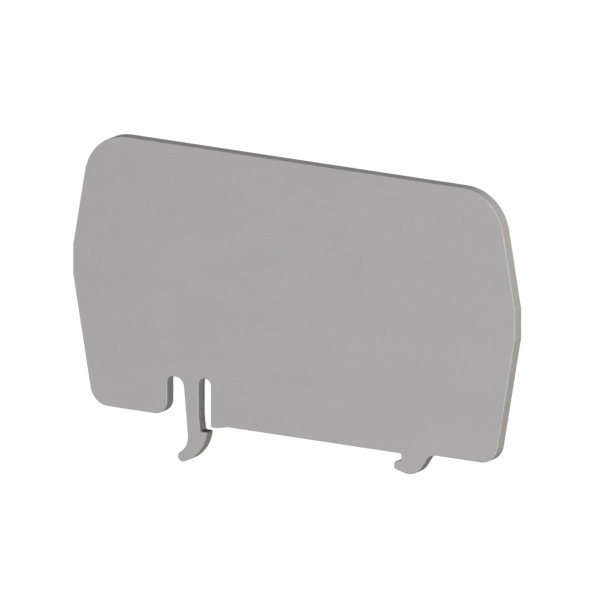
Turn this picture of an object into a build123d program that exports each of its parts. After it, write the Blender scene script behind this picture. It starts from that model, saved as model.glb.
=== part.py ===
from build123d import *
import os
from math import pi, radians, tan

# Terminal block end cover: one flat moulding whose foot snaps onto a 35 mm top-hat rail.
# X runs across the rail, towards the fixed hook. Y runs along the rail, through the plate.
# Z points away from the rail. The origin is on the rail's face, midway between the rail's
# two edges and midway through the plate. Sizes are in millimetres, angles in degrees.

# Rail that the foot grips
rail_width = 35.0
rail_edge_thickness = 1.0

# Plate
plate_thickness = 2.0
plate_width = 77.1
plate_offset = -1.12  # middle of the plate from the middle of the rail
plate_top = 42.45
side_flat_bottom = 20.2
side_flat_height = 4.4
side_taper = 10.0  # how far the sides lean in, above and below their upright flats
top_corner_radius = 7.3
bottom_corner_radius = 3.05
foot_rise = 0.47  # outer bottom edges stay this far off the rail's face
edge_radius = 0.15

# Rail seat, with the wedge that presses the rail's edge onto the latch
wedge_drop = 0.41
wedge_flat = 1.0  # level nose, before the wedge slopes up to the seat
wedge_length = 3.0
wedge_corner_radius = 0.25

# Latch leg, a flat spring between two slots
leg_setback = 0.28  # from the rail's edge to the leg's upright face
leg_width = 2.08  # at the rail's face
leg_taper = 5.25  # the leg's outer face leans out towards its root
kick_height = 1.0  # below this the leg's inner face leans in to the rail's edge
flex_slot_top = 6.6
flex_slot_wall_radius = 0.95
flex_slot_flat = 0.48  # straight part of its top, between its two rounds
flex_slot_leg_radius = 1.5
flex_slot_mouth_radius = 2.15
relief_slot_width = 2.13
relief_slot_top = 6.97

# Barb under the rail's edge, and the tail that releases it
barb_play = 0.31
barb_reach = 1.14
barb_tip_radius = 0.2
barb_root_radius = 0.3
tail_start = 2.1  # below the rail's face
tail_inner_radius = 3.05
tail_sweep = 62.0
tail_tip_radius = 0.77
tail_tip_sweep = 165.0

# Fixed hook on the other side of the rail
hook_side_play = 0.1
hook_root_play = 0.05
hook_mouth_drop = 0.38  # the hook's ledge falls this much from its root to its lip
hook_reach = 1.27
hook_lip_height = 1.02
hook_toe_slope = 15.4
hook_knee_offset = 2.4  # from the hook's wall to the knee's sharp corner
hook_knee_radius = 2.8
hook_flank_angle = 57.1
hook_flank_radius = 1.9
hook_wall_radius = 0.3
hook_root_radius = 0.2
hook_lip_radius = 0.3

# Plate corners, before rounding
plate_left = plate_offset - plate_width / 2
plate_right = plate_offset + plate_width / 2
side_flat_top = side_flat_bottom + side_flat_height
lean_above = (plate_top - side_flat_top) * tan(radians(side_taper))
lean_below = (side_flat_bottom - foot_rise) * tan(radians(side_taper))

# Rail edges and the walls that face them
rail_edge = rail_width / 2
hook_wall = rail_edge + hook_side_play
leg_face = -(rail_edge + leg_setback)
seat_start = leg_face + relief_slot_width

# Leg's outer face: a line that leans from leg_back, level with the rail's face, out to leg_root
leg_back = leg_face - leg_width
leg_lean = radians(leg_taper)
leg_root = leg_back - flex_slot_top * tan(leg_lean)
leg_round_reach = flex_slot_leg_radius * tan((pi / 2 - leg_lean) / 2)
flex_wall = leg_root - leg_round_reach - flex_slot_flat - flex_slot_wall_radius
relief_round = relief_slot_width / 2

# Barb and hook levels below the rail's face
barb_ledge = -(rail_edge_thickness + barb_play)
barb_tip = -rail_edge + barb_reach
hook_root = -(rail_edge_thickness + hook_root_play)
hook_lip_top = hook_root - hook_mouth_drop
hook_lip_bottom = hook_lip_top - hook_lip_height
hook_lip = hook_wall - hook_reach
hook_knee_x = hook_wall + hook_knee_offset
hook_knee_z = hook_lip_bottom - (hook_knee_x - hook_lip) * tan(radians(hook_toe_slope))
hook_flank_top = hook_knee_x + (foot_rise - hook_knee_z) / tan(radians(hook_flank_angle))


def on_leg_back(height):
    """Point of the leg's outer face at this height above the rail's face."""
    return (leg_back - height * tan(leg_lean), height)


with BuildPart() as end_cover:
    with BuildSketch(Plane.XZ) as profile:
        # Plate with tapered sides
        with BuildLine():
            FilletPolyline(
                (plate_left + lean_below, foot_rise),
                (plate_right - lean_below, foot_rise),
                (plate_right, side_flat_bottom),
                (plate_right, side_flat_top),
                (plate_right - lean_above, plate_top),
                (plate_left + lean_above, plate_top),
                (plate_left, side_flat_top),
                (plate_left, side_flat_bottom),
                radius=(
                    bottom_corner_radius,
                    bottom_corner_radius,
                    0,
                    0,
                    top_corner_radius,
                    top_corner_radius,
                    0,
                    0,
                ),
                close=True,
            )
        make_face()

        # Rail seat between the relief slot and the fixed hook, with its wedge
        with BuildLine():
            Polyline(
                (seat_start, foot_rise),
                (seat_start, -wedge_drop),
                (seat_start + wedge_flat, -wedge_drop),
                (seat_start + wedge_length, 0),
                (hook_wall, 0),
                (hook_wall, foot_rise),
                close=True,
            )
        make_face()

        # Flex slot on the outer side of the leg, with its larger round at the leg's root
        with BuildLine():
            flex_outline = FilletPolyline(
                (flex_wall, 0),
                (flex_wall, flex_slot_top),
                (leg_root, flex_slot_top),
                on_leg_back(0),
                radius=(flex_slot_wall_radius, flex_slot_leg_radius),
            )
            Line(flex_outline @ 1, flex_outline @ 0)
        make_face(mode=Mode.SUBTRACT)

        # Relief slot between the leg and the rail seat
        with BuildLine():
            relief_wall_line = Line((leg_face, 0), (leg_face, relief_slot_top - relief_round))
            relief_arc = JernArc(
                start=relief_wall_line @ 1,
                tangent=(0, 1),
                radius=relief_round,
                arc_size=-180,
            )
            Polyline(relief_arc @ 1, (seat_start, 0), (leg_face, 0))
        make_face(mode=Mode.SUBTRACT)

        # Leg's lower end with its barb and curved release tail
        with BuildLine():
            leg_line = Line(on_leg_back(kick_height), on_leg_back(-tail_start))
            tail_inner = JernArc(
                start=leg_line @ 1,
                tangent=leg_line % 1,
                radius=tail_inner_radius,
                arc_size=-tail_sweep,
            )
            tail_tip = JernArc(
                start=tail_inner @ 1,
                tangent=tail_inner % 1,
                radius=tail_tip_radius,
                arc_size=tail_tip_sweep,
            )
            TangentArc(tail_tip @ 1, (barb_tip, barb_ledge), tangent=tail_tip % 1)
            Polyline(
                (barb_tip, barb_ledge),
                (-rail_edge, barb_ledge),
                (leg_face, kick_height),
                on_leg_back(kick_height),
            )
        make_face()

        # Fixed hook
        with BuildLine():
            Polyline(
                (hook_wall, foot_rise),
                (hook_wall, hook_root),
                (hook_lip, hook_lip_top),
                (hook_lip, hook_lip_bottom),
                (hook_knee_x, hook_knee_z),
                (hook_flank_top, foot_rise),
                close=True,
            )
        make_face()

        # Corners of the foot, each with its own radius
        for corner, radius in (
            ((flex_wall, foot_rise), flex_slot_mouth_radius),
            ((seat_start, -wedge_drop), wedge_corner_radius),
            ((barb_tip, barb_ledge), barb_tip_radius),
            ((-rail_edge, barb_ledge), barb_root_radius),
            ((hook_wall, 0), hook_wall_radius),
            ((hook_wall, hook_root), hook_root_radius),
            ((hook_lip, hook_lip_top), hook_lip_radius),
            ((hook_lip, hook_lip_bottom), hook_lip_radius),
            ((hook_knee_x, hook_knee_z), hook_knee_radius),
            ((hook_flank_top, foot_rise), hook_flank_radius),
        ):
            fillet(profile.vertices().sort_by_distance(corner)[0], radius=radius)
    extrude(amount=plate_thickness / 2, both=True)

    # Moulded edges are slightly round all the way along both faces
    fillet(end_cover.faces().filter_by(Axis.Y).edges(), radius=edge_radius)

end_cover.part.label = "end_cover"

os.makedirs("parts", exist_ok=True)
export_step(end_cover.part, "parts/end_cover.step")
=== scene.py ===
import math

import bpy
from mathutils import Matrix, Vector


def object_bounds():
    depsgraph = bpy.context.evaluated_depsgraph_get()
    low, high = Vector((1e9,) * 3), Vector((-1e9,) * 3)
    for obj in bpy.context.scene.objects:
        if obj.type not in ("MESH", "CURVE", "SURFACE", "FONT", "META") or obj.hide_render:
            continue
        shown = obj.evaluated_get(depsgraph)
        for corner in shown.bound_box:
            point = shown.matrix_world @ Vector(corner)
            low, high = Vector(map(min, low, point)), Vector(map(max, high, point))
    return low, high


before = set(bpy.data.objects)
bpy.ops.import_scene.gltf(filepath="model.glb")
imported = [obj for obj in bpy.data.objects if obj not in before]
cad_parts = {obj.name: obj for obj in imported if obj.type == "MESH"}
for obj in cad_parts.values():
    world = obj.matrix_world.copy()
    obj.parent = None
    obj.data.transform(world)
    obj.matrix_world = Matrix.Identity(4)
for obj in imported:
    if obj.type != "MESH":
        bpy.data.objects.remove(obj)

# Finish, camera and light for the terminal block end cover. Lengths are in metres.
# X runs across the rail, Y through the plate towards its back, and Z away from the rail.

# The photo is a parallel projection. These place the camera in its 600 by 600 frame.
FRAME_PIXELS = 600
PIXELS_PER_METRE = 6690.0
RAIL_CENTRE_PIXEL = (303.70, 436.99)
VIEW_AZIMUTH = 31.05
VIEW_ELEVATION = 14.56
CAMERA_DISTANCE = 0.5
CLIP_RANGE = (0.01, 50.0)

# Light grey moulded plastic, smoother and paler where hands rub its edges
GREY = (0.392, 0.382, 0.387, 1.0)
RUBBED_GREY = (0.47, 0.46, 0.455, 1.0)
REFRACTIVE_INDEX = 1.5
FACE_ROUGHNESS = 0.56
ROUGHNESS_DRIFT = 0.03  # either way, from patch to patch
EDGE_ROUGHNESS = 0.42

# Spark-eroded grain: small pits on a finer roughness, with painted shade in the pits
GRAIN_SIZE = 0.0003
GRAIN_DEPTH = 0.000016
PIT_SHARE = 0.6  # weight of the pits in the grain's height, where the finer roughness has 1
PAINTED_PIT_SHADE = 0.025  # painted shade and light: how much darker the pits are painted, and how much lighter what stands between them

# Patches along the melt's flow
PATCH_LENGTH = 0.014
PATCH_STRETCH = (1.0, 1.0, 0.45)  # longer across the rail than they are tall
DRIFT = 0.02  # how much darker or lighter the patches are

# Patches along the rubbed edges
RUB_PATCH_LENGTH = 0.004
RUB_AMOUNT = 0.5
LEAST_RUB = 0.45  # share of the rub that the least rubbed stretches still have

# Studio: a glowing white table under the part, in a softly glowing room
WHITE = (1.0, 1.0, 1.0, 1.0)
BLACK = (0.0, 0.0, 0.0, 1.0)
TABLE_DROP = 0.3  # below the part
TABLE_SIZE = 12.0
TABLE_GLOW = 1.02
BACKDROP_GLOW = 1.02
ROOM_GLOW = 0.03

# Softboxes round the part
SOFTBOX_DISTANCE = 1.2
STRIP = (0.8, 0.2)  # width and height of a long softbox
SQUARE = (0.3, 0.3)  # width and height of a small one
PLAIN = (1.0, 1.0, 1.0)
WARM = (1.0, 0.985, 0.675)  # tints the right wall
COOL = (0.905, 0.91, 1.0)  # takes that tint off the top wall


def direction(azimuth, elevation):
    """Unit vector from the part towards a viewer at these angles, in degrees."""
    turn = math.radians(azimuth)
    rise = math.radians(elevation)
    return Vector((math.sin(turn) * math.cos(rise), -math.cos(turn) * math.cos(rise), math.sin(rise)))


def feed(tree, source, socket):
    """Feed a node's socket from another socket, or set it to a plain value."""
    if isinstance(source, bpy.types.NodeSocket):
        tree.links.new(source, socket)
    else:
        socket.default_value = source


def node_group(name, inputs, outputs):
    """New shader node group with these named sockets, and its input and output nodes."""
    group = bpy.data.node_groups.new(name, "ShaderNodeTree")
    for label, kind, value in inputs:
        socket = group.interface.new_socket(name=label, in_out="INPUT", socket_type=kind)
        socket.default_value = value
    for label, kind in outputs:
        group.interface.new_socket(name=label, in_out="OUTPUT", socket_type=kind)
    return group, group.nodes.new("NodeGroupInput"), group.nodes.new("NodeGroupOutput")


def place_group(tree, group, values):
    """Node of a shared group in a material, with its own values on the named inputs."""
    node = tree.nodes.new("ShaderNodeGroup")
    node.node_tree = group
    for label, value in values.items():
        feed(tree, value, node.inputs[label])
    return node


def calculate(tree, operation, *sources):
    """Math node on sockets or numbers; gives its output socket."""
    node = tree.nodes.new("ShaderNodeMath")
    node.operation = operation
    for source, socket in zip(sources, node.inputs):
        feed(tree, source, socket)
    return node.outputs[0]


def mix_colour(tree, blend, factor, first, second):
    """Colour mix of two sockets or colours; gives its output socket."""
    node = tree.nodes.new("ShaderNodeMix")
    node.data_type = "RGBA"
    node.blend_type = blend
    sockets = {socket.identifier: socket for socket in node.inputs}
    feed(tree, factor, sockets["Factor_Float"])
    feed(tree, first, sockets["A_Color"])
    feed(tree, second, sockets["B_Color"])
    return next(socket for socket in node.outputs if socket.identifier == "Result_Color")


def spread(tree, value, low, high, start=0.0, end=1.0):
    """Map Range node that takes start..end to low..high, held at both ends."""
    node = tree.nodes.new("ShaderNodeMapRange")
    labels = ("Value", "From Min", "From Max", "To Min", "To Max")
    for label, source in zip(labels, (value, start, end, low, high)):
        feed(tree, source, node.inputs[label])
    return node.outputs["Result"]


def shade(tree, value, swing, start, end):
    """Factor for a colour, from 1 - swing where the value is at start to 1 + swing at end."""
    darkest = calculate(tree, "SUBTRACT", 1.0, swing)
    lightest = calculate(tree, "ADD", 1.0, swing)
    return spread(tree, value, darkest, lightest, start, end)


def cells(tree, size, stretch=(1.0, 1.0, 1.0)):
    """Position on the part counted in cells of this size, drawn out along each axis."""
    drawn = tree.nodes.new("ShaderNodeVectorMath")
    drawn.operation = "DIVIDE"
    drawn.inputs[1].default_value = stretch
    tree.links.new(tree.nodes.new("ShaderNodeTexCoord").outputs["Object"], drawn.inputs[0])
    counted = tree.nodes.new("ShaderNodeVectorMath")
    counted.operation = "SCALE"
    tree.links.new(drawn.outputs[0], counted.inputs[0])
    feed(tree, calculate(tree, "DIVIDE", 1.0, size), counted.inputs["Scale"])
    return counted.outputs[0]


def noise(tree, place, detail, roughness):
    """Noise with one cell for each unit of place; gives its 0..1 value."""
    node = tree.nodes.new("ShaderNodeTexNoise")
    node.inputs["Scale"].default_value = 1.0
    node.inputs["Detail"].default_value = detail
    node.inputs["Roughness"].default_value = roughness
    tree.links.new(place, node.inputs["Vector"])
    return node.outputs["Fac"]


def round_cells(tree, place):
    """Distance from the middle of the nearest cell, with soft ridges between the cells."""
    node = tree.nodes.new("ShaderNodeTexVoronoi")
    node.feature = "SMOOTH_F1"
    node.inputs["Scale"].default_value = 1.0
    tree.links.new(place, node.inputs["Vector"])
    return node.outputs["Distance"]


def spark_grain():
    """Height of a spark-eroded mould's texture, and a factor of painted shade that darkens its pits and
    lightens what stands between them.
    """
    group, start, end = node_group(
        "spark grain",
        [("Grain Size", "NodeSocketFloat", GRAIN_SIZE), ("Painted Pit Shade", "NodeSocketFloat", PAINTED_PIT_SHADE)],
        [("Height", "NodeSocketFloat"), ("Shade", "NodeSocketFloat")],
    )
    place = cells(group, start.outputs["Grain Size"])
    pits = calculate(group, "MULTIPLY", round_cells(group, place), PIT_SHARE)
    fine = noise(group, place, detail=3.0, roughness=0.6)
    height = calculate(group, "ADD", pits, fine)
    feed(group, height, end.inputs["Height"])
    # Painted shade: the colour is darker in the pits and lighter on what stands between them.
    painted_pit_shade = shade(group, height, start.outputs["Painted Pit Shade"], start=0.5, end=0.95)
    feed(group, painted_pit_shade, end.inputs["Shade"])
    return group


def melt_flow():
    """Faint lighter and darker patches, drawn out along the way the melt filled the mould."""
    group, start, end = node_group(
        "melt flow",
        [
            ("Colour", "NodeSocketColor", GREY),
            ("Patch Length", "NodeSocketFloat", PATCH_LENGTH),
            ("Drift", "NodeSocketFloat", DRIFT),
        ],
        [("Colour", "NodeSocketColor"), ("Patches", "NodeSocketFloat")],
    )
    place = cells(group, start.outputs["Patch Length"], PATCH_STRETCH)
    patches = noise(group, place, detail=4.0, roughness=0.55)
    tint = shade(group, patches, start.outputs["Drift"], start=0.3, end=0.7)
    feed(group, mix_colour(group, "MULTIPLY", 1.0, start.outputs["Colour"], tint), end.inputs["Colour"])
    feed(group, patches, end.inputs["Patches"])
    return group


def edge_rub():
    """Mask that is up to 1 along the rounded edges and 0 on the flat faces and the walls."""
    group, start, end = node_group(
        "edge rub",
        [("Patch Length", "NodeSocketFloat", RUB_PATCH_LENGTH), ("Amount", "NodeSocketFloat", RUB_AMOUNT)],
        [("Mask", "NodeSocketFloat")],
    )
    split = group.nodes.new("ShaderNodeSeparateXYZ")
    group.links.new(group.nodes.new("ShaderNodeNewGeometry").outputs["Normal"], split.inputs[0])
    # The normal's Y is 0 on a wall, 1 or -1 on a face and in between on a rounded edge.
    facing = calculate(group, "ABSOLUTE", split.outputs["Y"])
    flatness = calculate(group, "ABSOLUTE", calculate(group, "MULTIPLY_ADD", facing, 2.0, -1.0))
    rounded = spread(group, flatness, 1.0, 0.0, start=0.55, end=0.98)
    patches = noise(group, cells(group, start.outputs["Patch Length"]), detail=2.0, roughness=0.5)
    uneven = spread(group, patches, LEAST_RUB, 1.0, start=0.35, end=0.65)
    rubbed = calculate(group, "MULTIPLY", rounded, uneven)
    feed(group, calculate(group, "MULTIPLY", rubbed, start.outputs["Amount"]), end.inputs["Mask"])
    return group


def moulded_plastic(grain, flow, rub):
    """Grey plastic: a fine pitted texture all over with painted shade in its pits, and smoother, paler
    edges where hands rub it.
    """
    material = bpy.data.materials.new("moulded grey plastic")
    material.use_nodes = True
    tree = material.node_tree
    surface = tree.nodes["Principled BSDF"]
    surface.inputs["IOR"].default_value = REFRACTIVE_INDEX

    texture = place_group(tree, grain, {"Grain Size": GRAIN_SIZE, "Painted Pit Shade": PAINTED_PIT_SHADE})
    body = place_group(tree, flow, {"Colour": GREY, "Patch Length": PATCH_LENGTH, "Drift": DRIFT})
    edges = place_group(tree, rub, {"Patch Length": RUB_PATCH_LENGTH, "Amount": RUB_AMOUNT})
    mask = edges.outputs["Mask"]

    # The body colour gets the grain's painted shade in its pits and painted light between them.
    colour_with_painted_pit_shade = mix_colour(tree, "MULTIPLY", 1.0, body.outputs["Colour"], texture.outputs["Shade"])
    feed(tree, mix_colour(tree, "MIX", mask, colour_with_painted_pit_shade, RUBBED_GREY), surface.inputs["Base Color"])

    smoothest = FACE_ROUGHNESS - ROUGHNESS_DRIFT
    roughest = FACE_ROUGHNESS + ROUGHNESS_DRIFT
    patchy = spread(tree, body.outputs["Patches"], smoothest, roughest)
    feed(tree, spread(tree, mask, patchy, EDGE_ROUGHNESS), surface.inputs["Roughness"])

    bump = tree.nodes.new("ShaderNodeBump")
    bump.inputs["Distance"].default_value = GRAIN_DEPTH
    feed(tree, texture.outputs["Height"], bump.inputs["Height"])
    feed(tree, bump.outputs["Normal"], surface.inputs["Normal"])
    return material


def photo_camera():
    """Parallel camera at the photo's angle, with the middle of the rail's face at its pixel."""
    lens = bpy.data.cameras.new("photo camera")
    lens.type = "ORTHO"
    lens.ortho_scale = FRAME_PIXELS / PIXELS_PER_METRE
    lens.clip_start, lens.clip_end = CLIP_RANGE
    back = direction(VIEW_AZIMUTH, VIEW_ELEVATION)
    right = Vector((0.0, 0.0, 1.0)).cross(back).normalized()
    up = back.cross(right)
    across = (FRAME_PIXELS / 2 - RAIL_CENTRE_PIXEL[0]) / PIXELS_PER_METRE
    above = (RAIL_CENTRE_PIXEL[1] - FRAME_PIXELS / 2) / PIXELS_PER_METRE
    turn = Matrix((right, up, back)).transposed().to_4x4()
    camera = bpy.data.objects.new("photo camera", lens)
    camera.matrix_world = Matrix.Translation(right * across + up * above + back * CAMERA_DISTANCE) @ turn
    bpy.context.scene.collection.objects.link(camera)
    bpy.context.scene.camera = camera


def glowing_table(centre, floor_height):
    """Plain white table that the part hangs over. It only glows, so no lamp can brighten it."""
    bpy.ops.mesh.primitive_plane_add(size=TABLE_SIZE, location=(centre.x, centre.y, floor_height))
    table = bpy.context.object
    table.name = "light_table"
    material = bpy.data.materials.new("lit white acrylic")
    material.use_nodes = True
    surface = material.node_tree.nodes["Principled BSDF"]
    surface.inputs["Base Color"].default_value = BLACK
    surface.inputs["Specular IOR Level"].default_value = 0.0
    surface.inputs["Emission Color"].default_value = WHITE
    surface.inputs["Emission Strength"].default_value = TABLE_GLOW
    table.data.materials.append(material)
    table.visible_diffuse = False
    table.visible_glossy = False
    table.visible_shadow = False


def white_room():
    """Surroundings that glow softly, behind a white backdrop that only the camera sees."""
    world = bpy.data.worlds.new("white room")
    world.use_nodes = True
    bpy.context.scene.world = world
    tree = world.node_tree
    glow = tree.nodes["Background"]
    glow.inputs["Color"].default_value = WHITE
    seen = tree.nodes.new("ShaderNodeLightPath").outputs["Is Camera Ray"]
    feed(tree, spread(tree, seen, ROOM_GLOW, BACKDROP_GLOW), glow.inputs["Strength"])


def softbox(name, centre, azimuth, elevation, size, power, colour=PLAIN):
    """Soft light of this width and height that faces the part from these angles; gives its object."""
    lamp = bpy.data.lights.new(name, "AREA")
    lamp.shape = "RECTANGLE"
    lamp.size, lamp.size_y = size
    lamp.energy = power
    lamp.color = colour
    towards = direction(azimuth, elevation)
    holder = bpy.data.objects.new(name, lamp)
    holder.location = centre + towards * SOFTBOX_DISTANCE
    holder.rotation_mode = "QUATERNION"
    holder.rotation_quaternion = towards.to_track_quat("Z", "Y")
    holder.visible_camera = False
    bpy.context.scene.collection.objects.link(holder)
    return holder


def studio_lights(centre):
    """Low strips all round, which leave the foot's ledges dark, and squares for the right and top walls."""
    softbox("front strip", centre, azimuth=8, elevation=-10, size=STRIP, power=9.1)
    softbox("right strip", centre, azimuth=50, elevation=-8, size=STRIP, power=4.9)
    softbox("left strip", centre, azimuth=-30, elevation=-8, size=STRIP, power=1.9)
    softbox("left side", centre, azimuth=-90, elevation=0, size=STRIP, power=1.6)
    warm_side = softbox("warm side", centre, azimuth=90, elevation=17, size=SQUARE, power=6.2, colour=WARM)
    warm_side.visible_glossy = False  # its glare would whiten the top edge, seen level from the left
    softbox("high side", centre, azimuth=90, elevation=65, size=SQUARE, power=7.0, colour=COOL)
    softbox("back strip", centre, azimuth=195, elevation=-12, size=STRIP, power=11.0)


cad_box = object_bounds()
part_centre = (cad_box[0] + cad_box[1]) / 2

photo_camera()
glowing_table(part_centre, cad_box[0].z - TABLE_DROP)
white_room()
studio_lights(part_centre)

plastic = moulded_plastic(spark_grain(), melt_flow(), edge_rub())
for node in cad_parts.values():
    node.data.materials.clear()
    node.data.materials.append(plastic)

bpy.context.scene.view_settings.view_transform = "Standard"
